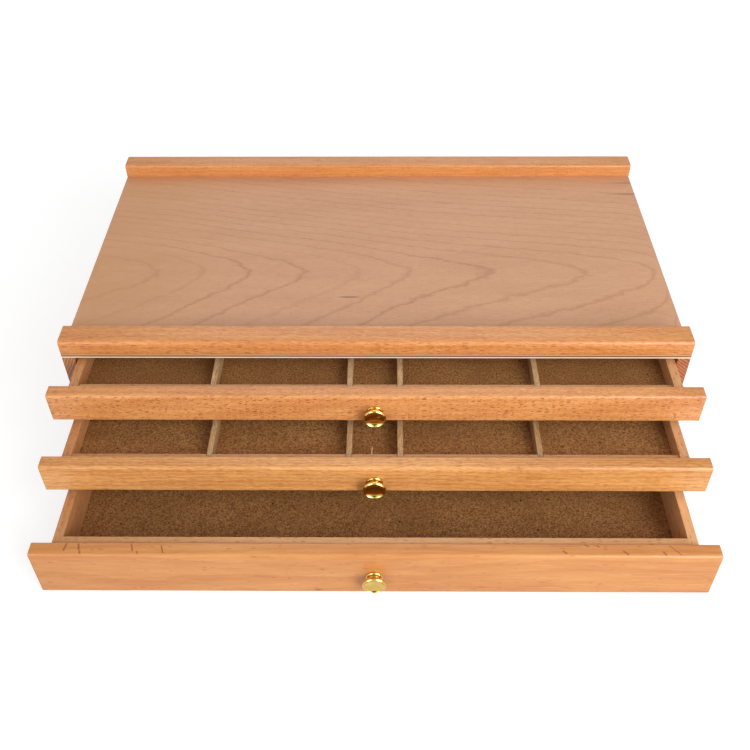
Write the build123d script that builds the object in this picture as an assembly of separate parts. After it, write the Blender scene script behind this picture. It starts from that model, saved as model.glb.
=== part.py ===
"""Wooden box with three drawers for pastels, built from its separate boards.

Millimetres. The origin is the centre of the underside, +X is to the right,
+Y is to the back and +Z is up. The drawers are drawn part open, as they stand
at rest here, and every drawer slides along Y.
"""

from build123d import *
import os

# ---- Case ----
case_width = 400.0
case_depth = 226.0
panel_thickness = 3.0          # plywood of the top, the bottom and the back
case_side_thickness = 8.0

# ---- Rails on top of the case, at its front and back edges ----
rail_depth = 16.0
rail_height = 10.5
rail_edge_radius = 3.0         # the long outer edge on top is rounded
arris_radius = 0.4             # all the other edges of the solid wood

# ---- Drawer fronts, from the table up ----
table_gap = 1.7                # under the lowest front
lower_front_height = 36.8
lower_front_gap = 3.2          # between the lowest and the middle front
upper_front_height = 21.3
upper_front_gap = 1.2          # between the middle and the top front
top_front_gap = 1.0            # between the top front and the top panel
front_thickness = 9.0
front_overhang = 2.2           # past the case at each end
front_edge_radius = 2.2        # the long top edge in front is rounded

# ---- Drawer boxes behind the fronts ----
drawer_wall = 5.6
drawer_bottom_thickness = 3.0  # hardboard
side_drop = 1.9                # from a front's top down to the top of its box
side_rise = 2.2                # from an upper front's underside up to its box
groove_lip = 3.0               # wood left below the groove that holds the bottom
groove_depth = 2.5
groove_end_gap = 0.3           # between the bottom's edge and the groove's floor
drawer_side_gap = 1.25         # between a drawer box and the case, on each side
drawer_back_gap = 3.0          # behind a closed drawer box
closing_gap = 0.3              # between a closed front and the case

# ---- Runner strips that carry the drawers ----
runner_width = 7.0
running_gap = 0.3              # between a strip and the drawer on it
runner_headroom = 1.0          # between a strip and the drawer box under it
runner_end_gap = 2.0           # the strips stop short of the case's front

# ---- Dividers of the two upper drawers ----
divider_thickness = 3.5
divider_height = 9.0           # the inner front of a divided drawer is level with them
centre_compartment_width = 28.0
slot_depth = 3.0               # in the inner front and in the drawer's back
slot_play = 0.1                # on each side of a divider

# ---- Knobs: turned brass on a screw stud ----
knob_drop = 2.7                # from the middle of a front down to its knob
knob_length = 7.0
knob_flange_radius = 5.2
knob_flange_length = 1.5
knob_neck_radius = 3.3
knob_neck_length = 1.4
knob_rim_radius = 7.1
knob_rim_length = 1.5
knob_face_radius = 6.3
knob_dish_depth = 1.3
knob_cup_bulge = 0.6           # of the head's rounded underside
stud_radius = 1.5
stud_play = 0.05
stud_in_knob = 4.0
stud_tip_cover = 0.6           # wood left between the stud's tip and the groove

# ---- How far each drawer stands open at rest ----
top_opening = 24.0
middle_opening = 62.0
lower_opening = 107.8

# ---- Values that follow from the ones above ----
lower_front_bottom = table_gap
middle_front_bottom = lower_front_bottom + lower_front_height + lower_front_gap
top_front_bottom = middle_front_bottom + upper_front_height + upper_front_gap
case_inner_top = top_front_bottom + upper_front_height + top_front_gap
case_height = case_inner_top + panel_thickness

case_front = -case_depth / 2
case_back = case_depth / 2
case_inner_half_width = case_width / 2 - case_side_thickness
case_inner_back = case_back - panel_thickness

box_half_width = case_inner_half_width - drawer_side_gap
box_inner_half_width = box_half_width - drawer_wall
closed_box_front = case_front - closing_gap
closed_box_back = case_inner_back - drawer_back_gap

box_spacing = side_rise + upper_front_gap + side_drop
runner_height = box_spacing - running_gap - runner_headroom

inner_width = 2 * box_inner_half_width
equal_compartment_width = (inner_width - centre_compartment_width - 4 * divider_thickness) / 4
inner_divider_x = (centre_compartment_width + divider_thickness) / 2
outer_divider_x = inner_divider_x + divider_thickness + equal_compartment_width


def board(x_range, y_range, z_range):
    """A straight board between two limits on each axis."""
    size = [high - low for low, high in (x_range, y_range, z_range)]
    centre = [(high + low) / 2 for low, high in (x_range, y_range, z_range)]
    return Pos(*centre) * Box(*size)


def save(shape, node):
    """Writes one piece as a STEP file that has the piece's name."""
    shape.label = node
    export_step(shape, f"parts/{node}.step")


def cylinder_along_y(radius, y_range, x, z):
    """A round bar whose axis runs front to back."""
    length = y_range[1] - y_range[0]
    middle = (y_range[0] + y_range[1]) / 2
    return Pos(x, middle, z) * Rot(90, 0, 0) * Cylinder(radius, length)


def rounded_strip(x_range, y_range, z_range, radius, outer_side):
    """A strip along X with one long top edge well rounded and an arris on all the others.

    outer_side is 0 to round the front edge and -1 to round the back edge.
    """
    strip = board(x_range, y_range, z_range)
    top_edges = strip.edges().filter_by(Axis.X).group_by(Axis.Z)[-1]
    strip = fillet(top_edges.sort_by(Axis.Y)[outer_side], radius=radius)
    round_edges = strip.faces().filter_by(GeomType.CYLINDER)[0].edges()
    sharp_edges = [edge for edge in strip.edges().filter_by(Axis.X) if edge not in round_edges]
    for end in strip.faces().filter_by(Axis.X):
        sharp_edges += end.edges()
    return fillet(sharp_edges, radius=arris_radius)


def build_case():
    """The carcass: three plywood panels, two sides and the two rails."""
    full_width = (-case_width / 2, case_width / 2)
    full_depth = (case_front, case_back)
    side_height = (panel_thickness, case_inner_top)
    rail_z = (case_height, case_height + rail_height)

    save(board(full_width, full_depth, (0, panel_thickness)), "bottom_panel")
    save(board(full_width, full_depth, (case_inner_top, case_height)), "top_panel")
    inner_width_range = (-case_inner_half_width, case_inner_half_width)
    save(board(inner_width_range, (case_inner_back, case_back), side_height), "back_panel")

    for name, sign in (("left", -1), ("right", 1)):
        faces = sorted((sign * case_inner_half_width, sign * case_width / 2))
        save(board(faces, full_depth, side_height), f"case_side_{name}")

    front_rail_y = (case_front, case_front + rail_depth)
    back_rail_y = (case_back - rail_depth, case_back)
    save(rounded_strip(full_width, front_rail_y, rail_z, rail_edge_radius, 0), "front_rail")
    save(rounded_strip(full_width, back_rail_y, rail_z, rail_edge_radius, -1), "back_rail")


def build_runners(name, box_bottom):
    """The pair of strips that one drawer slides on."""
    top = box_bottom - running_gap
    length = (case_front + runner_end_gap, case_inner_back)
    for side_name, sign in (("left", -1), ("right", 1)):
        inner_face = sign * (case_inner_half_width - runner_width)
        faces = sorted((inner_face, sign * case_inner_half_width))
        strip = board(faces, length, (top - runner_height, top))
        save(strip, f"{name}_runner_{side_name}")


def knob_shape():
    """A turned knob on the Y axis, its flange on the plane Y = 0 and its face towards -Y."""
    rim_end = knob_length - (knob_rim_radius - knob_face_radius)
    cup_start = Vector(knob_neck_radius, -(knob_flange_length + knob_neck_length))
    cup_end = Vector(knob_rim_radius, knob_rim_length - rim_end)
    outward = (cup_end - cup_start).normalized().rotate(Axis.Z, 90)
    cup_middle = (cup_start + cup_end) / 2 + outward * knob_cup_bulge
    face_edge = Vector(knob_face_radius, -knob_length)
    dish_floor = Vector(0, knob_dish_depth - knob_length)
    dish_radius = (knob_face_radius**2 + knob_dish_depth**2) / (2 * knob_dish_depth)

    flange = Polyline(
        (0, 0),
        (knob_flange_radius, 0),
        (knob_flange_radius, -knob_flange_length),
        (knob_neck_radius, -knob_flange_length),
        cup_start,
    )
    cup = ThreePointArc(cup_start, cup_middle, cup_end)
    rim = Polyline(cup_end, (knob_rim_radius, -rim_end), face_edge)
    dish = RadiusArc(face_edge, dish_floor, -dish_radius)
    axis_line = Line(dish_floor, (0, 0))
    profile = Face(Wire([*flange.edges(), cup, *rim.edges(), dish, axis_line]))
    return revolve(profile, Axis.Y)


def build_drawer(name, front_bottom, front_height, box_bottom, opening, divided):
    """One drawer: its box, its front with the knob, and its dividers."""
    front_top = front_bottom + front_height
    box_top = front_top - side_drop
    box_front = closed_box_front - opening
    box_back = closed_box_back - opening
    face = box_front - front_thickness
    knob_height = (front_top + front_bottom) / 2 - knob_drop
    board_bottom = box_bottom + groove_lip
    board_top = board_bottom + drawer_bottom_thickness

    reach = groove_depth - groove_end_gap
    inner_x = (-box_inner_half_width, box_inner_half_width)
    inner_y = (box_front + drawer_wall, box_back - drawer_wall)
    bottom_x = (inner_x[0] - reach, inner_x[1] + reach)
    bottom_y = (inner_y[0] - reach, inner_y[1] + reach)
    groove_x = (inner_x[0] - groove_depth, inner_x[1] + groove_depth)
    groove_y = (inner_y[0] - groove_depth, inner_y[1] + groove_depth)
    groove = board(groove_x, groove_y, (board_bottom, board_top))
    box_z = (box_bottom, box_top)

    save(board(bottom_x, bottom_y, (board_bottom, board_top)), f"{name}_bottom")

    for side_name, sign in (("left", -1), ("right", 1)):
        faces = sorted((sign * box_inner_half_width, sign * box_half_width))
        side = board(faces, (box_front, box_back), box_z)
        save(side - groove, f"{name}_side_{side_name}")

    divider_places = []
    if divided:
        divider_places = [-outer_divider_x, -inner_divider_x, inner_divider_x, outer_divider_x]
    divider_y = (inner_y[0] - slot_depth, inner_y[1] + slot_depth)
    half_slot = divider_thickness / 2 + slot_play
    divider_z = (board_top, board_top + divider_height)
    slot_z = (board_top, box_top)
    slots = [board((x - half_slot, x + half_slot), divider_y, slot_z) for x in divider_places]

    stud_tip = inner_y[0] - groove_depth - stud_tip_cover
    stud_y = (face - stud_in_knob, stud_tip)
    stud = cylinder_along_y(stud_radius, stud_y, 0, knob_height)
    stud_hole = cylinder_along_y(stud_radius + stud_play, stud_y, 0, knob_height)

    inner_front_top = divider_z[1] if divided else box_top
    inner_front_z = (box_bottom, inner_front_top)
    inner_front = board(inner_x, (box_front, inner_y[0]), inner_front_z) - groove
    back = board(inner_x, (inner_y[1], box_back), box_z) - groove
    for slot in slots:
        inner_front = inner_front - slot
        back = back - slot
    save(inner_front - stud_hole, f"{name}_inner_front")
    save(back, f"{name}_back")

    for number, x in enumerate(divider_places, start=1):
        faces = (x - divider_thickness / 2, x + divider_thickness / 2)
        save(board(faces, divider_y, divider_z), f"{name}_divider_{number}")

    front_x = (-case_width / 2 - front_overhang, case_width / 2 + front_overhang)
    front = rounded_strip(front_x, (face, box_front), (front_bottom, front_top), front_edge_radius, 0)
    save(front - stud_hole, f"{name}_front")

    knob = Pos(0, face, knob_height) * knob_shape()
    save(knob - stud_hole, f"{name}_knob")
    save(stud, f"{name}_knob_stud")


def main():
    """Builds the case, then each drawer with the runners that carry it."""
    os.makedirs("parts", exist_ok=True)
    build_case()

    top_box = top_front_bottom + side_rise
    middle_box = middle_front_bottom + side_rise
    lower_box = panel_thickness + runner_height + running_gap
    drawers = (
        ("top_drawer", top_front_bottom, upper_front_height, top_box, top_opening, True),
        ("middle_drawer", middle_front_bottom, upper_front_height, middle_box, middle_opening, True),
        ("lower_drawer", lower_front_bottom, lower_front_height, lower_box, lower_opening, False),
    )
    for name, front_bottom, front_height, box_bottom, opening, divided in drawers:
        build_runners(name, box_bottom)
        build_drawer(name, front_bottom, front_height, box_bottom, opening, divided)


main()
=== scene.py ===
"""Looks of a wooden box with three shallow drawers for pastels, standing part open."""

import math
import random
from dataclasses import dataclass

import bmesh
import bpy
from mathutils import Matrix, Vector, noise


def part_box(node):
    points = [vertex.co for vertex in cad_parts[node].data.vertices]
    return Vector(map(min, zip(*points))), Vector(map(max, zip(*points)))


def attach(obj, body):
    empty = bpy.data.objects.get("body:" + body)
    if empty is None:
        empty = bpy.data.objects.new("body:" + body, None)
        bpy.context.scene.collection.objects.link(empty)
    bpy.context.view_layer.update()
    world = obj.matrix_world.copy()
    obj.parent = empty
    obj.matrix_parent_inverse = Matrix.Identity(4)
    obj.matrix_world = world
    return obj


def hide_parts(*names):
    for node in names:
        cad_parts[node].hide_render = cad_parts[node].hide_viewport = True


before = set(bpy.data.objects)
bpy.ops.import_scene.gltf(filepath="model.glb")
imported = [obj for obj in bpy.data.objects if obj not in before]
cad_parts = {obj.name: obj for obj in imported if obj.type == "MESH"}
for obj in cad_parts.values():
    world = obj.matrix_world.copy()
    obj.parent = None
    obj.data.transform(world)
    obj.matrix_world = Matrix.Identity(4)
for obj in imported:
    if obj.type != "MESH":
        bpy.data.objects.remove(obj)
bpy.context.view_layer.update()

MM = 0.001
IMAGE_SIZE = 750               # pixels, square
SENSOR_WIDTH = 36.0            # millimetres

DRAWERS = ("top_drawer", "middle_drawer", "lower_drawer")


# ---------------------------------------------------------------- colour and nodes


def linear(value):
    """One display channel, 0 to 255, as scene light."""
    value = value / 255
    return value / 12.92 if value <= 0.04045 else ((value + 0.055) / 1.055) ** 2.4


def colour(red, green, blue):
    """A display colour as the RGBA that a socket takes."""
    return (linear(red), linear(green), linear(blue), 1.0)


class Tree:
    """Adds nodes to the node tree of one material or world."""

    def __init__(self, owner):
        owner.use_nodes = True
        self.owner = owner
        self.tree = owner.node_tree
        self.tree.nodes.clear()

    def node(self, kind, inputs=None, **settings):
        """A node with its settings, and its inputs given as values or as other nodes' outputs."""
        made = self.tree.nodes.new(kind)
        for key, value in settings.items():
            setattr(made, key, value)
        for key, value in (inputs or {}).items():
            if isinstance(value, bpy.types.NodeSocket):
                self.tree.links.new(value, made.inputs[key])
            else:
                made.inputs[key].default_value = value
        return made

    def math(self, operation, *values, clamp=False):
        """A Math node's result."""
        inputs = dict(enumerate(values))
        return self.node("ShaderNodeMath", inputs, operation=operation, use_clamp=clamp).outputs[0]

    def vector(self, operation, *values):
        """A Vector Math node's vector result."""
        inputs = dict(enumerate(values))
        return self.node("ShaderNodeVectorMath", inputs, operation=operation).outputs["Vector"]

    def measure(self, operation, *values):
        """A Vector Math node's single number, such as a length."""
        inputs = dict(enumerate(values))
        return self.node("ShaderNodeVectorMath", inputs, operation=operation).outputs["Value"]

    def split(self, vector):
        """The three numbers of a vector."""
        return self.node("ShaderNodeSeparateXYZ", {0: vector}).outputs[:3]

    def join(self, x, y, z):
        """A vector from three numbers."""
        return self.node("ShaderNodeCombineXYZ", {0: x, 1: y, 2: z}).outputs[0]

    def remap(self, value, low, high, new_low=0.0, new_high=1.0, smooth=False):
        """value from low..high to new_low..new_high, held at both ends."""
        kind = "SMOOTHSTEP" if smooth else "LINEAR"
        inputs = {0: value, 1: low, 2: high, 3: new_low, 4: new_high}
        return self.node("ShaderNodeMapRange", inputs, interpolation_type=kind).outputs[0]

    def noise(self, vector, detail=2.0, roughness=0.5, distortion=0.0):
        """Perlin noise from 0 to 1 with cells of size 1."""
        inputs = {"Vector": vector, "Scale": 1.0, "Detail": detail, "Roughness": roughness,
                  "Distortion": distortion}
        return self.node("ShaderNodeTexNoise", inputs).outputs[0]

    def mix(self, factor, first, second):
        """Two colours mixed."""
        inputs = {0: factor, 6: first, 7: second}
        return self.node("ShaderNodeMix", inputs, data_type="RGBA", clamp_factor=True).outputs[2]

    def ramp(self, value, stops):
        """A colour ramp with (place, colour) stops."""
        made = self.node("ShaderNodeValToRGB", {0: value})
        elements = made.color_ramp.elements
        while len(elements) < len(stops):
            elements.new(1.0)
        for element, (place, shade) in zip(elements, stops):
            element.position = place
            element.color = shade
        return made.outputs[0]

    def specks(self, vector, share, size, edge=0.5):
        """Marks of size cells or less in the given share of the cells: 1 inside a mark."""
        cell = self.node("ShaderNodeTexVoronoi", {"Vector": vector, "Scale": 1.0})
        luck = self.split(cell.outputs["Color"])[0]
        radius = self.remap(luck, 1.0 - share, 1.0 - 0.5 * share, 0.0, size)
        inside = self.math("SUBTRACT", radius, cell.outputs["Distance"])
        return self.math("DIVIDE", inside, self.math("MULTIPLY", radius, edge), clamp=True)

    def spot(self, point, centre, half_size):
        """A soft oval mark around one place in millimetres: 1 at its middle."""
        away = self.vector("SUBTRACT", point, centre)
        away = self.vector("DIVIDE", away, half_size)
        return self.remap(self.measure("LENGTH", away), 1.0, 0.3, smooth=True)

    def dash(self, point, start, end, half_width):
        """A short straight mark between two places in millimetres: 1 along its middle."""
        start = Vector(start)
        span = Vector(end) - start
        away = self.vector("SUBTRACT", point, start)
        reach = self.remap(self.measure("DOT_PRODUCT", away, span / span.length_squared), 0.0, 1.0)
        nearest = self.vector("MULTIPLY", self.join(reach, reach, reach), span)
        gap = self.measure("DISTANCE", away, nearest)
        return self.remap(gap, half_width, 0.3 * half_width, smooth=True)

    def finish(self, base, roughness, height, depth, **fixed):
        """Ends the tree in a Principled shader. height's relief is depth millimetres deep."""
        bump = self.node("ShaderNodeBump", {"Height": height, "Strength": 1.0, "Distance": depth * MM})
        inputs = {"Base Color": base, "Roughness": roughness, "Normal": bump.outputs[0]}
        inputs.update({key.replace("_", " "): value for key, value in fixed.items()})
        shader = self.node("ShaderNodeBsdfPrincipled", inputs)
        self.node("ShaderNodeOutputMaterial", {0: shader.outputs[0]})
        return self.owner


def material_tree(name):
    """The empty node tree of a new material."""
    return Tree(bpy.data.materials.new(name))


def object_point(tree):
    """The surface point in the part's own millimetres."""
    place = tree.node("ShaderNodeTexCoord").outputs["Object"]
    return tree.vector("MULTIPLY", place, (1 / MM, 1 / MM, 1 / MM))


def object_normal(tree):
    """The surface normal in the part's own axes."""
    return tree.node("ShaderNodeTexCoord").outputs["Normal"]


# ---------------------------------------------------------------- wood


@dataclass
class Wood:
    """How one board looks. Lengths are in millimetres."""

    plain: tuple                       # display colour of the ground
    deep: tuple                        # display colour of late wood and dark fibres
    mark: tuple = (150, 82, 40)        # display colour of the short ray marks
    grain: str = "X"                   # the axis that the fibres follow
    seed: float = 0.0                  # moves the pattern, so that no two boards match
    ring_width: float = 3.2            # of one year
    ring_centre: tuple = (40.0, -70.0)  # heart of the tree, on the two axes across the grain
    ring_depth: float = 0.14           # how much late wood darkens, from 0 to 1
    end_ring_depth: float = 0.6        # the same on end grain
    band_depth: float = 0.3            # how much the broad stripes along the grain darken
    fibre_size: tuple = (9.0, 0.7)     # along and across the grain
    fibre_depth: float = 0.5           # how much the fibres darken
    wave: float = 1.2                  # how far the fibres wander
    wave_length: float = 18.0          # over what length they do
    lean: float = 0.0                  # rise of the fibres per millimetre of length
    mark_size: tuple = (5.0, 1.25)     # cell of one ray mark, along and across the grain
    mark_share: float = 0.5            # share of the cells that hold a mark
    mark_depth: float = 0.5            # how much a mark darkens
    top_marks: float = 1.0             # how strong the marks stay on a level face
    cloud: tuple = (214, 146, 104)     # display colour of the soft clouds
    cloud_depth: float = 0.3           # how much they colour the ground
    roughness: float = 0.42


SEED_STEP = (173.0, 7.3, 5.1)  # how far one seed moves the pattern, along and across the grain


def along_grain(tree, vector, axis):
    """A point or a normal with its first coordinate along the fibres."""
    x, y, z = tree.split(vector)
    orders = {"X": (x, y, z), "Y": (y, x, z)}
    return tree.join(*orders[axis])


def fibre_shift(tree, moved, look):
    """How far the fibres wander sideways, in millimetres."""
    cells = (look.wave_length, 9.0, 9.0)
    drift = tree.noise(tree.vector("DIVIDE", moved, cells), 2.0)
    return tree.math("MULTIPLY", tree.math("SUBTRACT", drift, 0.5), 2 * look.wave)


def late_wood(tree, along, moved, shift, look):
    """The dark part of the growth rings around the heart of the tree, from 0 to 1."""
    side, height = tree.split(tree.vector("ADD", along, tree.join(0.0, shift, shift)))[1:]
    out_side = tree.math("SUBTRACT", side, look.ring_centre[0])
    out_height = tree.math("SUBTRACT", height, look.ring_centre[1])
    radius = tree.measure("LENGTH", tree.join(out_side, out_height, 0.0))
    drift = tree.noise(tree.vector("DIVIDE", moved, (170.0, 40.0, 40.0)), 1.0)
    rings = tree.math("ADD", tree.math("DIVIDE", radius, look.ring_width),
                      tree.math("MULTIPLY", drift, 3.0))
    year = tree.math("FRACT", rings)
    rise = tree.remap(year, 0.25, 0.93, smooth=True)
    fall = tree.remap(year, 1.0, 0.95)
    return tree.math("MULTIPLY", rise, fall)


def ray_marks(tree, bent, normal, end_grain, look):
    """Short dark ray marks in two sizes, fainter on end grain and on level faces."""
    long, thin = look.mark_size
    large = tree.vector("DIVIDE", bent, (long, thin, thin))
    large = tree.specks(large, look.mark_share, 0.42, 0.35)
    small = tree.vector("DIVIDE", bent, (long * 0.5, thin * 0.62, thin * 0.62))
    small = tree.vector("ADD", small, (31.7, 17.3, 11.9))
    small = tree.specks(small, look.mark_share * 0.8, 0.4, 0.4)
    marks = tree.math("MAXIMUM", large, tree.math("MULTIPLY", small, 0.6))
    depth = tree.remap(end_grain, 0.0, 1.0, look.mark_depth, 0.15)
    marks = tree.math("MULTIPLY", marks, depth)
    level = tree.remap(tree.split(normal)[2], 0.5, 0.9, 1.0, look.top_marks)
    return tree.math("MULTIPLY", marks, level)


def wood_pattern(tree, point, look):
    """Colour and relief of solid wood at a point: rings, stripes, fibres and ray marks."""
    along = along_grain(tree, point, look.grain)
    rise = tree.math("MULTIPLY", tree.split(along)[0], look.lean)
    moved = tree.vector("ADD", along, Vector(SEED_STEP) * look.seed)
    moved = tree.vector("ADD", moved, tree.join(0.0, rise, rise))
    shift = fibre_shift(tree, moved, look)
    bent = tree.vector("ADD", moved, tree.join(0.0, shift, shift))
    normal = along_grain(tree, object_normal(tree), look.grain)
    end_grain = tree.remap(tree.math("ABSOLUTE", tree.split(normal)[0]), 0.6, 0.8)

    late = late_wood(tree, along, moved, shift, look)
    ring_depth = tree.remap(end_grain, 0.0, 1.0, look.ring_depth, look.end_ring_depth)
    broad = tree.noise(tree.vector("DIVIDE", bent, (140.0, 11.0, 11.0)), 3.0, 0.55)
    stretch, width = look.fibre_size
    fibre = tree.noise(tree.vector("DIVIDE", bent, (stretch, width, width)), 3.0, 0.6)
    tone = tree.math("MULTIPLY", late, ring_depth)
    tone = tree.math("MULTIPLY_ADD", tree.remap(broad, 0.35, 0.7), look.band_depth, tone)
    tone = tree.math("MULTIPLY_ADD", tree.remap(fibre, 0.35, 0.75), look.fibre_depth, tone)
    marks = ray_marks(tree, bent, normal, end_grain, look)

    clouds = tree.noise(tree.vector("DIVIDE", moved, (70.0, 28.0, 28.0)), 2.0)
    clouds = tree.math("MULTIPLY", tree.remap(clouds, 0.4, 0.7, smooth=True), look.cloud_depth)
    shade = tree.mix(clouds, colour(*look.plain), colour(*look.cloud))
    shade = tree.mix(tone, shade, colour(*look.deep))
    shade = tree.mix(marks, shade, colour(*look.mark))
    relief = tree.math("MULTIPLY_ADD", marks, -1.0, tree.math("MULTIPLY", fibre, -0.5))
    return shade, relief


def uneven_gloss(tree, point, cells, dull, shiny):
    """Roughness that drifts between two values over cells of the given size in millimetres."""
    drift = tree.noise(tree.vector("DIVIDE", point, cells), 2.0)
    return tree.remap(drift, 0.3, 0.7, shiny, dull)


def wood_material(name, look, touch=None):
    """A material of solid wood. touch(tree, point, shade) may add marks of this one board."""
    tree = material_tree(name)
    point = object_point(tree)
    shade, relief = wood_pattern(tree, point, look)
    if touch:
        shade = touch(tree, point, shade)
    rough = uneven_gloss(tree, point, (9.0, 5.0, 5.0), look.roughness + 0.08, look.roughness - 0.06)
    return tree.finish(shade, rough, relief, 0.035, IOR=1.46, Coat_Weight=0.35, Coat_Roughness=0.2)


# Display colours of the boards: the front rail, most drawer sides, the right drawer sides, the
# lower drawer's right side, the inner fronts and backs, the two case sides, and the dividers.
# The right drawer sides carry painted light: the same beech, made paler where the lamps leave
# them darker, and the lower drawer's right side is the palest.
BEECH = dict(plain=(235, 166, 98), deep=(188, 108, 48), cloud=(232, 163, 106))
DRAWER_BEECH = dict(plain=(210, 152, 100), deep=(168, 108, 62), cloud=(202, 144, 100))
BEECH_WITH_PAINTED_LIGHT = dict(plain=(222, 170, 120), deep=(186, 128, 82), cloud=(214, 162, 120))
BEECH_WITH_MORE_PAINTED_LIGHT = dict(plain=(240, 184, 130), deep=(202, 140, 90), cloud=(232, 175, 130))
CROSS_BEECH = dict(plain=(218, 164, 110), deep=(178, 120, 72), cloud=(210, 156, 106))
CASE_BEECH = {"left": dict(plain=(204, 140, 84), deep=(146, 86, 44), cloud=(190, 124, 80)),
              "right": dict(plain=(214, 138, 82), deep=(140, 70, 34), cloud=(198, 126, 76))}
RING_CENTRES = {"left": (-120.0, 40.0), "right": (125.0, 0.0)}     # X and Z of the heart
DIVIDER_WOODS = {
    "top_drawer": dict(plain=(224, 190, 143), deep=(154, 116, 76), cloud=(209, 172, 126)),
    "middle_drawer": dict(plain=(213, 177, 131), deep=(145, 106, 68), cloud=(199, 158, 115)),
}


# ---------------------------------------------------------------- plywood and hardboard


TIP_ROW = -27.7                # Y of the tips of the top panel's arched grain
TIP_PLACES = (-152.4, -120.1, -87.1, -48.5, -11.3, 23.7, 81.0, 148.0, 194.7)   # X of each tip
PANEL_SPAN = 200.0             # half the panel's length
BACK_SLOPE, BACK_BLUNT = 5.0, 30.8      # how far an arch leans and how round its tip is, behind
FRONT_SLOPE, FRONT_BLUNT = 1.3, 8.0     # the same in front of the tips
RING_STEP = 33.0               # usual distance from tip to tip
STRAIGHT_STEP = 14.0           # distance of the lines on a panel without arches
PLY_PLAIN, PLY_DEEP = (217, 166, 129), (172, 114, 76)      # display colours


def arch_rings(tree, point):
    """Numbers the arched growth lines of the top panel: a whole number on every line."""
    wobble_cells = tree.vector("DIVIDE", point, (16.0, 9.0, 9.0))
    wobble = tree.math("SUBTRACT", tree.noise(wobble_cells, 3.0, 0.6), 0.5)
    x, y, _ = tree.split(point)

    curve = tree.node("ShaderNodeFloatCurve", {1: tree.remap(x, -PANEL_SPAN, PANEL_SPAN)})
    line = curve.mapping.curves[0]
    count = len(TIP_PLACES)
    line.points[0].location = (0.0, 0.0)
    line.points[1].location = (1.0, (count + 1) / (count + 2))
    for number, place in enumerate(TIP_PLACES, start=1):
        line.points.new((place + PANEL_SPAN) / (2 * PANEL_SPAN), number / (count + 2))
    curve.mapping.update()
    number = tree.math("MULTIPLY", curve.outputs[0], count + 2.0)

    across = tree.math("SUBTRACT", y, TIP_ROW)
    behind = tree.remap(across, -4.0, 4.0)
    slope = tree.remap(behind, 0.0, 1.0, FRONT_SLOPE, BACK_SLOPE)
    blunt = tree.remap(behind, 0.0, 1.0, FRONT_BLUNT, BACK_BLUNT)
    reach = tree.math("ADD", tree.math("POWER", across, 2.0), tree.math("POWER", blunt, 2.0))
    spread = tree.math("SUBTRACT", tree.math("SQRT", reach), blunt)
    spread = tree.math("DIVIDE", tree.math("MULTIPLY", spread, slope), RING_STEP)
    total = tree.math("ADD", number, spread)
    feather_cells = tree.vector("DIVIDE", point, (4.0, 1.2, 1.2))
    feather = tree.math("SUBTRACT", tree.noise(feather_cells), 0.5)
    total = tree.math("MULTIPLY_ADD", feather, 0.09, total)
    return tree.math("MULTIPLY_ADD", wobble, 0.45, total)


def veneer(tree, point, arched):
    """Face veneer of plywood: arched or straight growth lines, fibres and small ray marks."""
    if arched:
        rings = arch_rings(tree, point)
    else:
        drift = tree.noise(tree.vector("DIVIDE", point, (160.0, 30.0, 30.0)), 2.0)
        _, y, z = tree.split(point)
        across = tree.math("ADD", y, z)
        lines = tree.math("DIVIDE", across, STRAIGHT_STEP)
        rings = tree.math("MULTIPLY_ADD", drift, 6.0, lines)
    year = tree.math("FRACT", rings)
    luck = tree.node("ShaderNodeTexWhiteNoise", {"W": tree.math("FLOOR", rings)},
                     noise_dimensions="1D").outputs[0]
    line = tree.math("MULTIPLY", tree.remap(year, 0.84, 0.99, smooth=True),
                     tree.remap(luck, 0.0, 1.0, 0.12, 0.4))
    after = tree.math("MULTIPLY", tree.remap(year, 0.08, 0.0), 0.14)
    bent = tree.vector("ADD", point, tree.join(0.0, tree.math("MULTIPLY", year, 0.6), 0.0))
    fibre = tree.noise(tree.vector("DIVIDE", bent, (7.0, 0.6, 0.6)), 4.0, 0.7)
    broad = tree.noise(tree.vector("DIVIDE", point, (90.0, 16.0, 16.0)), 2.0)
    marks = tree.specks(tree.vector("DIVIDE", bent, (4.0, 0.8, 0.8)), 0.5, 0.4)

    tone = tree.math("MAXIMUM", line, after)
    tone = tree.math("MULTIPLY_ADD", tree.remap(fibre, 0.38, 0.7), 0.3, tone)
    tone = tree.math("MULTIPLY_ADD", tree.remap(broad, 0.35, 0.7), 0.16, tone)
    tone = tree.math("MULTIPLY_ADD", marks, 0.16, tone)
    shade = tree.mix(tone, colour(*PLY_PLAIN), colour(*PLY_DEEP))
    return shade, tree.math("MULTIPLY_ADD", tone, -0.6, tree.math("MULTIPLY", fibre, -0.4))


def ply_layers(tree, point, axis, low, high):
    """The bands that a plywood edge shows between its two faces, as a colour."""
    depth = tree.remap(tree.split(point)[axis], low, high)
    face, core, glue = colour(240, 212, 180), colour(206, 152, 102), colour(104, 66, 40)
    stops = ((0.0, face), (0.36, face), (0.44, glue), (0.64, glue), (0.74, core), (1.0, core))
    streak = tree.noise(tree.vector("DIVIDE", point, (5.0, 5.0, 0.25)), 3.0, 0.7)
    bands = tree.ramp(depth, stops)
    return tree.mix(tree.remap(streak, 0.55, 0.8, 0.0, 0.4), bands, glue)


def plywood_material(node, axis, arched=False, touch=None):
    """Plywood of a CAD node whose faces look along axis, 0 to 2 for X to Z."""
    tree = material_tree(f"{node}_plywood")
    point = object_point(tree)
    shade, relief = veneer(tree, point, arched)
    if touch:
        shade = touch(tree, point, shade)
    low, high = node_box(node)
    facing = tree.math("ABSOLUTE", tree.split(object_normal(tree))[axis])
    edge = tree.remap(facing, 0.7, 0.5)
    shade = tree.mix(edge, shade, ply_layers(tree, point, axis, low[axis], high[axis]))
    rough = uneven_gloss(tree, point, (8.0, 5.0, 5.0), 0.6, 0.45)
    return tree.finish(shade, rough, relief, 0.05, IOR=1.45)


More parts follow.
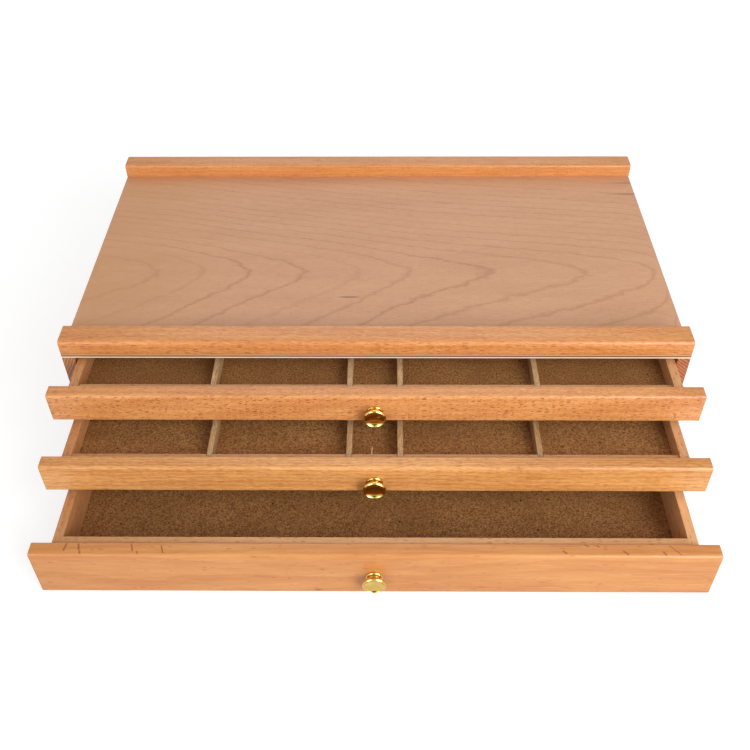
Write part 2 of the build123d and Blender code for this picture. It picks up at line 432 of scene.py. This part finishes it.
def panel_streaks(tree, point, shade):
    """A warmer left end, and short dark streaks: one near the middle and two at the right rear."""
    warm = tree.remap(tree.split(point)[0], -90.0, -200.0, 0.0, 0.5, smooth=True)
    shade = tree.mix(warm, shade, colour(206, 150, 100))
    top = node_box("top_panel")[1].z
    depth = 9.0                    # so that a streak shows on the panel's end too
    streaks = ((-18.0, -55.0, 10.0, 1.1), (200.0, 88.0, 22.0, 0.9), (196.0, 72.2, 23.0, 1.0))
    for x, y, half_length, half_width in streaks:
        mark = tree.spot(point, (x, y, top), (half_length, half_width, depth))
        mark = tree.math("MULTIPLY", mark, 0.8)
        shade = tree.mix(mark, shade, colour(134, 80, 50))
    return shade


def hardboard_material(name):
    """Brown pressed fibre: a fine salt-and-pepper of fibres, soft clouds and a few dark dots."""
    tree = material_tree(name)
    point = object_point(tree)
    grit = tree.noise(tree.vector("DIVIDE", point, (1.05, 1.05, 1.05)), 4.0, 0.75)
    threads = tree.noise(tree.vector("DIVIDE", point, (4.2, 0.8, 0.8)), 2.0, 0.6, 1.5)
    cross = tree.noise(tree.vector("DIVIDE", point, (0.8, 4.2, 0.8)), 2.0, 0.6, 1.5)
    clouds = tree.noise(tree.vector("DIVIDE", point, (26.0, 26.0, 26.0)), 3.0)
    dots = tree.specks(tree.vector("DIVIDE", point, (8.0, 8.0, 8.0)), 0.5, 0.13)
    crumbs = tree.specks(tree.vector("DIVIDE", point, (2.6, 2.6, 2.6)), 0.4, 0.3)

    shade = tree.mix(tree.remap(grit, 0.38, 0.62), colour(96, 55, 24), colour(202, 145, 85))
    shade = tree.mix(tree.remap(threads, 0.55, 0.7, 0.0, 0.55), shade, colour(214, 163, 105))
    shade = tree.mix(tree.remap(cross, 0.55, 0.7, 0.0, 0.55), shade, colour(96, 58, 30))
    shade = tree.mix(tree.remap(clouds, 0.35, 0.7, 0.0, 0.4), shade, colour(130, 83, 42))
    shade = tree.mix(tree.math("MULTIPLY", crumbs, 0.6), shade, colour(72, 40, 22))
    shade = tree.mix(tree.math("MULTIPLY", dots, 0.9), shade, colour(44, 22, 16))
    return tree.finish(shade, 0.62, grit, 0.08, IOR=1.45)


def brass_material(name):
    """Polished and lacquered brass with fine turning lines and small scratches."""
    tree = material_tree(name)
    point = object_point(tree)
    stain = tree.noise(tree.vector("DIVIDE", point, (3.0, 3.0, 3.0)), 3.0)
    shade = tree.mix(tree.remap(stain, 0.35, 0.7), colour(240, 204, 122), colour(228, 188, 100))
    scratch = tree.noise(tree.vector("DIVIDE", point, (0.15, 2.5, 0.6)), 2.0)
    rough = tree.remap(scratch, 0.3, 0.7, 0.06, 0.16)
    return tree.finish(shade, rough, scratch, 0.002, Metallic=1.0)


def steel_material(name):
    """Dull zinc-plated steel of the screw studs."""
    tree = material_tree(name)
    point = object_point(tree)
    thread = tree.noise(tree.vector("DIVIDE", point, (2.0, 0.4, 2.0)), 2.0)
    shade = tree.mix(thread, colour(168, 170, 172), colour(128, 130, 134))
    return tree.finish(shade, tree.remap(thread, 0.3, 0.7, 0.3, 0.5), thread, 0.02, Metallic=1.0)


# ---------------------------------------------------------------- mesh helpers


def mesh_object(name, vertices, faces, smooth=True):
    """A new object with a mesh given in millimetres."""
    mesh = bpy.data.meshes.new(name)
    mesh.from_pydata([Vector(v) * MM for v in vertices], [], faces)
    mesh.polygons.foreach_set("use_smooth", [smooth] * len(mesh.polygons))
    mesh.update()
    made = bpy.data.objects.new(name, mesh)
    bpy.context.scene.collection.objects.link(made)
    return made


def dress(piece, body, slot, material, *nodes):
    """Puts a new piece in place of CAD nodes: its body and its material. slot is not used."""
    piece.data.materials.clear()
    piece.data.materials.append(material)
    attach(piece, body)
    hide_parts(*nodes)


def node_box(name):
    """A CAD node's lowest and highest corner in millimetres."""
    low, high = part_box(name)
    return low / MM, high / MM


def ring_faces(rings, size):
    """Four-sided faces between rings of size points that follow each other."""
    faces = []
    for ring in range(rings - 1):
        for number in range(size):
            after = (number + 1) % size
            a, b = ring * size + number, ring * size + after
            faces.append((a, b, b + size, a + size))
    return faces


def rounded_profile(low, high, radii, steps):
    """A rectangle with its own radius at each corner, as (y, z, corner weight) points.

    The corners go round from the lower front one: lower front, lower back, upper back,
    upper front. The weight is 1 on a corner, where hands and sandpaper reach.
    """
    corners = ((low[0], low[1], 1, 1, 180), (high[0], low[1], -1, 1, 270),
               (high[0], high[1], -1, -1, 0), (low[0], high[1], 1, -1, 90))
    points = []
    for (y, z, to_y, to_z, start), radius in zip(corners, radii):
        centre = (y + to_y * radius, z + to_z * radius)
        for step in range(steps + 1):
            angle = math.radians(start + 90 * step / steps)
            points.append((centre[0] + radius * math.cos(angle),
                           centre[1] + radius * math.sin(angle), 1.0))
    return points


def with_flats(points, longest):
    """The profile with points of weight 0 added on its flat sides, none over longest apart."""
    made = []
    for here, after in zip(points, points[1:] + points[:1]):
        made.append(here)
        gap = math.dist(here[:2], after[:2])
        count = int(gap // longest)
        for number in range(1, count + 1):
            share = number / (count + 1)
            made.append((here[0] + (after[0] - here[0]) * share,
                         here[1] + (after[1] - here[1]) * share, 0.0))
    return made


@dataclass
class Dent:
    """A small bruise: its place in millimetres, its reach and its depth."""

    place: Vector
    reach: float
    depth: float


def worn(point, inward, weight, dents):
    """A point of a strip moved in by hand sanding at the corners and by its dents."""
    deepest = 0.16
    sanding = 0.5 + 0.5 * noise.noise(Vector((point.x / 22, point.y / 9, point.z / 9)))
    depth = deepest * weight * sanding
    for dent in dents:
        away = (point - dent.place).length / dent.reach
        if away < 1:
            depth += dent.depth * (1 - away * away) ** 2
    return point + inward * depth


ARRIS = 0.4                    # radius of a strip's ends and of its lesser edges
STRIP_STEP = 2.5               # length of a strip's faces
CORNER_STEPS = 7
END_STEPS = 4


def strip_places(low_x, high_x):
    """Where a strip's rings of points stand: X, and how far each ring is drawn in."""
    ends = []
    for number in range(END_STEPS + 1):
        angle = math.radians(90 * number / END_STEPS)
        ends.append((ARRIS * (1 - math.cos(angle)), ARRIS * (1 - math.sin(angle))))
    straight = high_x - low_x - 2 * ARRIS
    count = round(straight / STRIP_STEP)
    places = [(low_x + along, inset) for along, inset in ends]
    places += [(low_x + ARRIS + straight * n / count, 0.0) for n in range(1, count)]
    places += [(high_x - along, inset) for along, inset in reversed(ends)]
    return places


def strip_object(name, node, radii, dents):
    """A strip along X in a CAD node's box, with rounded long edges, ends and wear."""
    low, high = node_box(node)
    profile = rounded_profile((low.y, low.z), (high.y, high.z), radii, CORNER_STEPS)
    profile = with_flats(profile, STRIP_STEP)
    places = strip_places(low.x, high.x)
    middle = (low + high) / 2
    vertices = []
    for x, inset in places:
        for y, z, weight in profile:
            shrunk_y = min(max(y, low.y + inset), high.y - inset)
            shrunk_z = min(max(z, low.z + inset), high.z - inset)
            inward = Vector((0, middle.y - y, middle.z - z)).normalized()
            vertices.append(worn(Vector((x, shrunk_y, shrunk_z)), inward, weight, dents))
    size = len(profile)
    faces = ring_faces(len(places), size)
    faces.append(tuple(reversed(range(size))))
    last = (len(places) - 1) * size
    faces.append(tuple(range(last, last + size)))
    made = mesh_object(name, vertices, faces)
    fix_normals(made)
    return made


def fix_normals(piece):
    """Turns every face outward."""
    bm = bmesh.new()
    bm.from_mesh(piece.data)
    bmesh.ops.recalc_face_normals(bm, faces=bm.faces)
    bm.to_mesh(piece.data)
    bm.free()


def edge_dents(seed, node, count, depth):
    """Small bruises scattered along the upper front edge of a strip."""
    low, high = node_box(node)
    from_end, from_edge = 5, 0.6
    lot = random.Random(seed)
    dents = []
    for _ in range(count):
        x = lot.uniform(low.x + from_end, high.x - from_end)
        place = Vector((x, low.y + from_edge, high.z - from_edge))
        reach = lot.uniform(1.2, 3.0)
        dents.append(Dent(place, reach, lot.uniform(0.3, 1.0) * depth))
    return dents


# ---------------------------------------------------------------- pieces


def round_corner(centre, radius, start, end, steps):
    """Points on an arc of a turned profile, as (radius, distance along the axis)."""
    points = []
    for number in range(steps + 1):
        angle = math.radians(start + (end - start) * number / steps)
        points.append((centre[0] + radius * math.cos(angle), centre[1] + radius * math.sin(angle)))
    return points


def dish_profile(lip):
    """The hollow in the knob's face from its lip to its middle, as knob_profile's points.

    A shallow floor goes over into a steeper wall at the bend. Angles are in degrees.
    """
    floor_radius, bend, wall_radius, lean = 16.0, 16, 5.1, 42
    dish = round_corner((0.0, 0.0), floor_radius, -90, -90 + bend, 10)
    knee_x = (floor_radius - wall_radius) * math.sin(math.radians(bend))
    knee_y = -(floor_radius - wall_radius) * math.cos(math.radians(bend))
    dish += round_corner((knee_x, knee_y), wall_radius, -90 + bend, -90 + lean, 8)[1:]
    drop = lip - dish[-1][1]
    return [(radius, along + drop) for radius, along in reversed(dish)]


def cup_profile(start, end, bulge):
    """The flaring underside of the knob's head, which stands bulge out of a straight line."""
    along = (end[0] - start[0], end[1] - start[1])
    reach = math.hypot(*along)
    steps = 13
    points = []
    for number in range(steps):
        share = number / steps
        out = bulge * 4 * share * (1 - share)
        points.append((start[0] + along[0] * share + out * along[1] / reach,
                       start[1] + along[1] * share - out * along[0] / reach))
    return points


def knob_profile():
    """A turned knob from the wood to the middle of its face: (radius, distance from the wood).

    A foot and a neck carry the head, a cup that ends in a short wall, a bevel and the dish.
    """
    edge = 0.14                    # radius of the finely turned edges
    foot, neck, head = 5.2, 3.28, 7.1
    wall_start, wall_end = 5.45, 6.5
    bevel_end = (6.62, 7.0)
    profile = [(5.05, 0.0), (foot, 0.12), (foot, 0.85)]
    profile += round_corner((foot - edge, 0.95 - edge / 2), edge, 0, 45, 4)
    profile += round_corner((4.8, 1.24), edge, 45, 90, 4)
    profile += [(4.3, 1.42), (3.7, 1.5)]
    profile += round_corner((3.6, 1.85), 0.3, -90, -180, 4)
    profile += [(neck, 2.2), (neck, 2.75)]
    profile += cup_profile((3.3, 2.95), (6.95, 5.4), 0.6)
    profile += round_corner((head - edge, wall_start + edge), edge, -50, 0, 4)
    profile += round_corner((head - edge, wall_end - edge), edge, 0, 45, 4)
    profile += round_corner((bevel_end[0] - edge, bevel_end[1] - edge), edge, 45, 100, 6)
    return profile + dish_profile(6.94)


def knob_object(name, node):
    """The turned knob, spun on its own axis where the CAD knob is."""
    low, high = node_box(node)
    centre_z = (low.z + high.z) / 2
    wood = high.y
    segments = 96
    *rings, (_, face_middle) = knob_profile()
    vertices = []
    for radius, along in rings:
        for number in range(segments):
            angle = 2 * math.pi * number / segments
            vertices.append((radius * math.cos(angle), wood - along,
                             centre_z + radius * math.sin(angle)))
    faces = ring_faces(len(rings), segments)
    vertices.append((0.0, wood - face_middle, centre_z))
    tip = len(vertices) - 1
    last = (len(rings) - 1) * segments
    faces += [(last + n, last + (n + 1) % segments, tip) for n in range(segments)]
    faces.append(tuple(range(segments)))
    made = mesh_object(name, vertices, faces)
    fix_normals(made)
    return made


def soften(node, width):
    """Rounds the edges of a carried-over CAD board."""
    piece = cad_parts[node]
    weld = piece.modifiers.new("weld", "WELD")
    weld.merge_threshold = 0.00001
    bevel = piece.modifiers.new("bevel", "BEVEL")
    bevel.width = width * MM
    bevel.segments = 2
    bevel.limit_method = "ANGLE"
    bevel.angle_limit = math.radians(40)
    bevel.harden_normals = True


def paint(node, material):
    """Gives a carried-over CAD node its material."""
    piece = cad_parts[node]
    piece.data.materials.clear()
    piece.data.materials.append(material)


# ---------------------------------------------------------------- the box


def rail_slit_shade(tree, point, shade):
    """Painted shade of the slit under the front rail, whole at its ends and broken between."""
    x, _, height = tree.split(point)
    foot = node_box("front_rail")[0].z
    end_start, end_full = 193.0, 195.0     # distance from the rail's middle
    low = tree.remap(height, foot + 0.8, foot + 0.2)
    ends = tree.remap(tree.math("ABSOLUTE", x), end_start, end_full)
    between = tree.noise(tree.vector("DIVIDE", point, (4.5, 50.0, 50.0)), 3.0, 0.7)
    between = tree.remap(between, 0.5, 0.68, 0.15, 0.85)
    mark = tree.math("MULTIPLY", low, tree.math("MAXIMUM", ends, between))
    return tree.mix(mark, shade, colour(52, 26, 12))


def add_rails():
    """The rails along the front and the back edge of the top."""
    front = Wood(**BEECH, seed=1.0, wave=1.7, wave_length=13.0, mark=(138, 50, 6), lean=0.03,
                 mark_size=(5.5, 0.8), mark_share=0.7, mark_depth=0.5, top_marks=0.5,
                 fibre_size=(7.0, 0.6), fibre_depth=0.75)
    back = Wood(plain=(228, 158, 92), deep=(178, 98, 44), cloud=(224, 154, 98), seed=2.0,
                wave=1.0, wave_length=10.0, mark=(160, 80, 34), mark_size=(3.4, 0.8),
                mark_share=0.4, mark_depth=0.4, fibre_depth=0.45)
    piece = strip_object("front_rail_strip", "front_rail", (ARRIS, ARRIS, ARRIS, 3.0),
                         edge_dents(11, "front_rail", 5, 0.25))
    # The front rail's material carries painted shade of the slit under the rail.
    material = wood_material("front_rail_beech", front, rail_slit_shade)
    dress(piece, "case", "front_beech", material, "front_rail")
    piece = strip_object("back_rail_strip", "back_rail", (ARRIS, ARRIS, 3.0, 1.8),
                         edge_dents(12, "back_rail", 3, 0.2))
    dress(piece, "case", "front_beech", wood_material("back_rail_beech", back), "back_rail")


# Dark flecks across the top of the lower front. Each runs from and to a place, given as X and
# the distance from the front's back, and is twice its last number wide.
FLECKS = (((-180.9, 1.2), (-181.5, 5.4), 0.95), ((-173.7, 1.2), (-172.8, 5.0), 0.9),
          ((-172.0, 6.2), (-171.8, 7.4), 0.9), ((-142.5, 1.2), (-141.2, 5.6), 0.7),
          ((-138.5, 6.4), (-137.8, 7.8), 0.7), ((-124.8, 2.2), (-123.2, 7.0), 0.65),
          ((110.2, 5.1), (111.8, 6.5), 0.9), ((123.6, 0.7), (125.0, 1.6), 0.95),
          ((130.3, 1.4), (131.5, 2.1), 0.7), ((145.3, 5.2), (147.5, 7.2), 0.9),
          ((168.2, 5.6), (169.4, 7.6), 0.9), ((172.6, 1.0), (178.4, 7.8), 0.5))


def lower_front_marks(tree, point, shade):
    """The small dark pin knot low on the lower front, and the flecks across its top."""
    knot_place, knot_size = (-33.9, -230.0, 3.9), (3.2, 6.0, 1.0)
    knot = tree.math("MULTIPLY", tree.spot(point, knot_place, knot_size), 0.7)
    shade = tree.mix(knot, shade, colour(132, 66, 40))
    back, top = node_box("lower_drawer_front")[1][1:]
    flecks = None
    for start, end, half_width in FLECKS:
        ends = [(x, back - depth, top) for x, depth in (start, end)]
        fleck = tree.dash(point, *ends, half_width)
        flecks = tree.math("MAXIMUM", flecks, fleck) if flecks else fleck
    return tree.mix(tree.math("MULTIPLY", flecks, 0.75), shade, colour(150, 74, 26))


FRONT_WOODS = {
    "top_drawer": Wood(plain=(234, 169, 103), deep=(188, 110, 52), cloud=(232, 166, 112),
                       seed=3.0, wave=2.6, wave_length=16.0, lean=-0.13, mark=(138, 46, 2),
                       mark_size=(4.2, 0.75), mark_share=0.62, mark_depth=0.75,
                       top_marks=0.35, fibre_size=(6.0, 0.5), fibre_depth=0.75),
    "middle_drawer": Wood(plain=(238, 176, 105), deep=(180, 108, 48), cloud=(240, 182, 120),
                          seed=4.0, wave=1.6, wave_length=12.0, mark=(156, 74, 20),
                          mark_size=(6.0, 0.65), mark_share=0.6, mark_depth=0.4,
                          fibre_size=(9.0, 0.55), fibre_depth=0.7, ring_depth=0.2,
                          ring_width=1.7),
    "lower_drawer": Wood(plain=(215, 149, 83), deep=(185, 107, 50), cloud=(222, 158, 94),
                         seed=5.0, wave=3.0, wave_length=40.0, mark=(150, 70, 22),
                         mark_share=0.1, mark_depth=0.4, fibre_size=(24.0, 0.9),
                         fibre_depth=0.45, ring_depth=0.2, ring_width=4.5, cloud_depth=0.8),
}


def add_fronts():
    """The three drawer fronts."""
    for number, name in enumerate(DRAWERS):
        node = f"{name}_front"
        piece = strip_object(f"{node}_strip", node, (ARRIS, ARRIS, ARRIS, 2.2),
                             edge_dents(21 + number, node, 6, 0.22))
        touch = lower_front_marks if name == "lower_drawer" else None
        material = wood_material(f"{node}_beech", FRONT_WOODS[name], touch)
        dress(piece, name, "front_beech", material, node)


def add_knobs(brass, steel):
    """The turned brass knobs and their studs."""
    for name in DRAWERS:
        piece = knob_object(f"{name}_turned_knob", f"{name}_knob")
        dress(piece, name, "brass", brass, f"{name}_knob")
        paint(f"{name}_knob_stud", steel)


def add_case():
    """The carcass boards, carried over with their own woods."""
    depthwise, upright = 1, 2
    paint("top_panel", plywood_material("top_panel", upright, True, panel_streaks))
    paint("bottom_panel", plywood_material("bottom_panel", upright))
    paint("back_panel", plywood_material("back_panel", depthwise))
    for node in ("top_panel", "bottom_panel", "back_panel"):
        soften(node, 0.2)
    for number, side in enumerate(("left", "right")):
        look = Wood(**CASE_BEECH[side], grain="Y", seed=6.0 + number,
                    ring_centre=RING_CENTRES[side], ring_width=1.9, end_ring_depth=1.0)
        paint(f"case_side_{side}", wood_material(f"case_side_{side}_beech", look))
        soften(f"case_side_{side}", 0.35)


def add_drawer_boxes(hardboard):
    """The drawer boxes, their bottoms and the runner strips that carry them."""
    rounding = 0.3
    for number, name in enumerate(DRAWERS):
        seed = 10.0 + 5 * number
        for place, side in enumerate(("left", "right")):
            # The right sides get beech with painted light, and the lower drawer's right side gets the
            # most.
            shades = BEECH_WITH_PAINTED_LIGHT if side == "right" else DRAWER_BEECH
            if (name, side) == ("lower_drawer", "right"):
                shades = BEECH_WITH_MORE_PAINTED_LIGHT
            look = Wood(**shades, grain="Y", seed=seed + place)
            material = wood_material(f"{name}_side_{side}_beech", look)
            for part in ("side", "runner"):
                paint(f"{name}_{part}_{side}", material)
                soften(f"{name}_{part}_{side}", rounding)
        cross = wood_material(f"{name}_cross_beech", Wood(**CROSS_BEECH, seed=seed + 2))
        for part in ("inner_front", "back"):
            paint(f"{name}_{part}", cross)
            soften(f"{name}_{part}", rounding)
        paint(f"{name}_bottom", hardboard)
        soften(f"{name}_bottom", 0.15)


def add_splinter():
    """A sliver torn up behind the middle knob's screw, on the back of the inner front."""
    root, tip = Vector((-2.2, -169.9, 52.6)), Vector((-1.5, -161.4, 57.2))
    root_size, tip_size = (1.3, 0.5), (0.3, 0.12)      # width and thickness
    arch = 1.1
    steps = 8
    vertices = []
    for number in range(steps + 1):
        share = number / steps
        middle = root.lerp(tip, share) + Vector((0, 0, arch * math.sin(math.pi * share)))
        wide = root_size[0] + (tip_size[0] - root_size[0]) * share ** 0.8
        thick = root_size[1] + (tip_size[1] - root_size[1]) * share
        for side, rise in ((-1, -1), (1, -1), (1, 1), (-1, 1)):
            vertices.append(middle + Vector((side * wide / 2, 0, rise * thick / 2)))
    faces = ring_faces(steps + 1, 4)
    faces += [(3, 2, 1, 0), tuple(4 * steps + corner for corner in range(4))]
    piece = mesh_object("middle_drawer_splinter", vertices, faces)
    fix_normals(piece)
    look = Wood(plain=(244, 200, 160), deep=(214, 156, 110), grain="Y", seed=41.0)
    piece.data.materials.append(wood_material("splinter_wood", look))
    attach(piece, "middle_drawer")


def add_dividers():
    """The thin loose dividers of the two upper drawers."""
    for name, shades in DIVIDER_WOODS.items():
        for number in range(1, 5):
            look = Wood(**shades, mark=(118, 80, 46), grain="Y", seed=30.0 + number,
                        mark_size=(2.6, 0.8), mark_share=0.8, mark_depth=0.5,
                        fibre_size=(5.0, 0.5), fibre_depth=0.9)
            node = f"{name}_divider_{number}"
            paint(node, wood_material(f"{node}_wood", look))
            soften(node, 0.3)


# ---------------------------------------------------------------- studio


def white_to_view(tree):
    """1 for rays that show the background: straight from the camera, mirrored or through glass."""
    path = tree.node("ShaderNodeLightPath").outputs
    seen = tree.math("MAXIMUM", path["Is Camera Ray"], path["Is Glossy Ray"])
    return tree.math("MAXIMUM", seen, path["Is Transmission Ray"])


def mirrored_room(tree):
    """How bright the room is in a mirror, by direction.

    It is dark in a wedge in front of the box that narrows upward, and somewhat darker
    overhead and behind the box.
    """
    wedge_edge, wedge_light = (0.2, 0.32), 0.1
    overhead, overhead_light = (0.45, 0.85), 0.4
    rear, rear_light = (-0.2, 0.4), 0.7
    x, y, z = tree.split(tree.node("ShaderNodeTexCoord").outputs["Generated"])
    spread = tree.remap(y, -1.0, -0.1, 1.0, 0.1)
    slope = tree.math("DIVIDE", tree.math("ABSOLUTE", x), spread)
    wedge = tree.math("MULTIPLY_ADD", z, 0.5, slope)
    front = tree.remap(wedge, *wedge_edge, wedge_light, 1.0, smooth=True)
    above = tree.remap(z, *overhead, 1.0, overhead_light, smooth=True)
    behind = tree.remap(y, *rear, 1.0, rear_light, smooth=True)
    return tree.math("MULTIPLY", tree.math("MULTIPLY", front, above), behind)


def add_world(ambient):
    """Even room light of strength ambient. The camera sees white, and mirrors see the room."""
    world = bpy.data.worlds.new("studio")
    tree = Tree(world)
    path = tree.node("ShaderNodeLightPath").outputs
    background = tree.remap(path["Is Glossy Ray"], 0.0, 1.0, 1.0, mirrored_room(tree))
    strength = tree.remap(white_to_view(tree), 0.0, 1.0, ambient, background)
    white = tree.node("ShaderNodeBackground", {0: (1.0, 1.0, 1.0, 1.0), 1: strength})
    tree.node("ShaderNodeOutputWorld", {0: white.outputs[0]})
    bpy.context.scene.world = world


def add_floor():
    """A plain pale floor that the camera sees as white, with the object's shadow on it.

    Mirrors see it end at table_edge, in front of the box. Lengths are in metres.
    """
    table_edge, edge_blur = -0.85, 0.3
    table_light, beyond_light = 0.86, 0.12
    near, near_glow = 0.35, 0.68
    far, far_glow = 1.3, 0.81
    floor_radius = 8.0
    segments = 64
    rim = []
    for number in range(segments):
        angle = 2 * math.pi * number / segments
        rim.append(Vector((math.cos(angle), math.sin(angle), 0.0)) * (floor_radius / MM))
    floor = mesh_object("floor", rim, [tuple(range(segments))], smooth=False)
    floor.location.z = -0.05 * MM

    white = (1.0, 1.0, 1.0, 1.0)
    tree = material_tree("floor_white")
    matt = tree.node("ShaderNodeBsdfDiffuse", {"Color": (0.55, 0.55, 0.55, 1.0)})
    shown = tree.node("ShaderNodeBsdfDiffuse", {"Color": (0.45, 0.45, 0.45, 1.0)})
    place = tree.node("ShaderNodeTexCoord").outputs["Object"]
    lift = tree.remap(tree.measure("LENGTH", place), near, far, near_glow, far_glow)
    glow = tree.node("ShaderNodeEmission", {"Color": white, "Strength": lift})
    both = tree.node("ShaderNodeAddShader", {0: shown.outputs[0], 1: glow.outputs[0]})
    level = tree.remap(tree.split(place)[1], table_edge - edge_blur, table_edge,
                       beyond_light, table_light)
    mirror = tree.node("ShaderNodeEmission", {"Color": white, "Strength": level})
    glossy = tree.node("ShaderNodeLightPath").outputs["Is Glossy Ray"]
    mixed = tree.node("ShaderNodeMixShader", {0: white_to_view(tree), 1: matt.outputs[0],
                                              2: both.outputs[0]})
    mixed = tree.node("ShaderNodeMixShader", {0: glossy, 1: mixed.outputs[0],
                                              2: mirror.outputs[0]})
    tree.node("ShaderNodeOutputMaterial", {0: mixed.outputs[0]})
    floor.data.materials.append(tree.owner)


# Soft lamps: their place and their width and height in metres, and their power in watts.
LAMPS = {
    "back": ((0.0, 1.1, 1.2), (1.0, 1.0), 4.0),
    "left": ((-0.62, -1.08, 0.52), (0.5, 0.8), 3.1),
    "right": ((0.66, -0.95, 0.6), (0.65, 1.0), 13.2),
}
LAMP_AIM = (0.0, -0.1, 0.05)


def add_lamps():
    """The soft lamps, all aimed at the open drawers."""
    for name, (place, size, power) in LAMPS.items():
        light = bpy.data.lights.new(name, "AREA")
        light.shape = "RECTANGLE"
        light.size, light.size_y = size
        light.energy = power
        lamp = bpy.data.objects.new(name, light)
        lamp.location = place
        direction = Vector(LAMP_AIM) - Vector(place)
        lamp.rotation_euler = direction.to_track_quat("-Z", "Y").to_euler()
        bpy.context.scene.collection.objects.link(lamp)


def add_camera():
    """The camera at the photograph's viewing angle."""
    focal_pixels = 919.81
    place = (0.005917, -0.542748, 0.482916)
    pitch, yaw, roll = math.radians(43.730), math.radians(-0.814), math.radians(0.4825)
    forward = Vector((math.sin(yaw) * math.cos(pitch), math.cos(yaw) * math.cos(pitch),
                      -math.sin(pitch)))
    level = Vector((math.cos(yaw), -math.sin(yaw), 0))
    down = forward.cross(level)
    right = level * math.cos(roll) + down * math.sin(roll)
    lower = down * math.cos(roll) - level * math.sin(roll)
    data = bpy.data.cameras.new("camera")
    data.sensor_width = SENSOR_WIDTH
    data.lens = focal_pixels / IMAGE_SIZE * SENSOR_WIDTH
    data.clip_end = 50.0
    camera = bpy.data.objects.new("camera", data)
    turn = Matrix((right, -lower, -forward)).transposed()
    camera.matrix_world = Matrix.Translation(place) @ turn.to_4x4()
    bpy.context.scene.collection.objects.link(camera)
    bpy.context.scene.camera = camera


def build():
    """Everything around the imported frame."""
    add_rails()
    add_fronts()
    add_knobs(brass_material("brass_polished"), steel_material("steel_plated"))
    add_case()
    add_drawer_boxes(hardboard_material("hardboard_brown"))
    add_dividers()
    add_splinter()

    add_world(0.45)
    add_floor()
    add_lamps()
    add_camera()
    bpy.context.scene.view_settings.view_transform = "Standard"


build()
bpy.context.view_layer.update()
